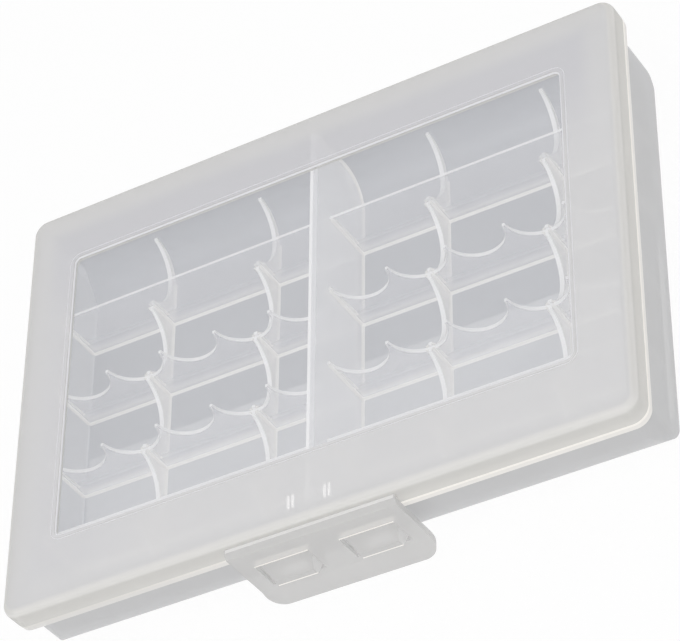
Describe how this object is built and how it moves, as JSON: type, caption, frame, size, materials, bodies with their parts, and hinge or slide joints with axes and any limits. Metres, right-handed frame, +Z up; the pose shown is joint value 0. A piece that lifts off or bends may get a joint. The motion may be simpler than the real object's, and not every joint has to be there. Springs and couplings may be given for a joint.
{
  "type": "battery storage case",
  "caption": "Flat clear plastic case with scalloped ribs and cradle webs for round cells, a hinged windowed lid and a front latch flap.",
  "frame": {"origin": "centre of the tray's flat underside", "axes": "+X to the right along the long side, +Y towards the lid's hinge, +Z up through the lid"},
  "size_m": [0.1184, 0.0889, 0.0189],
  "materials": {
    "tray_plastic": "smooth translucent polypropylene",
    "rib_plastic": "smooth translucent polypropylene",
    "frosted_plastic": "finely frosted translucent polypropylene",
    "window_plastic": "clear polished polypropylene",
    "flap_plastic": "smooth translucent polypropylene"
  },
  "bodies": {
    "case_tray": {"tray": "tray_plastic", "centre_wall": "rib_plastic", "end_rib_front": "rib_plastic", "cradle_rib_front": "rib_plastic", "cradle_rib_rear": "rib_plastic", "end_rib_rear": "rib_plastic", "aa_cradle_web_1": "rib_plastic", "aa_cradle_web_2": "rib_plastic", "aa_cradle_web_3": "rib_plastic", "aa_cradle_web_4": "rib_plastic", "catch_left": "tray_plastic", "catch_right": "tray_plastic", "tray_hinge_leaves": "tray_plastic"},
    "case_lid": {"lid": "frosted_plastic", "lid_window": "window_plastic", "lid_locating_ribs": "frosted_plastic", "lid_hinge_leaves": "frosted_plastic"},
    "latch": {"latch_flap": "flap_plastic"}
  },
  "joints": [
    {"name": "lid_hinge", "type": "hinge", "parent": "case_tray", "child": "case_lid", "pos_m": [0, 0.04408, 0.01415], "axis": [-1, 0, 0], "range_deg": [0, 180]},
    {"name": "latch_hinge", "type": "hinge", "parent": "case_lid", "child": "latch", "pos_m": [0, -0.04285, 0.01715], "axis": [-1, 0, 0], "range_deg": [0, 120]}
  ]
}
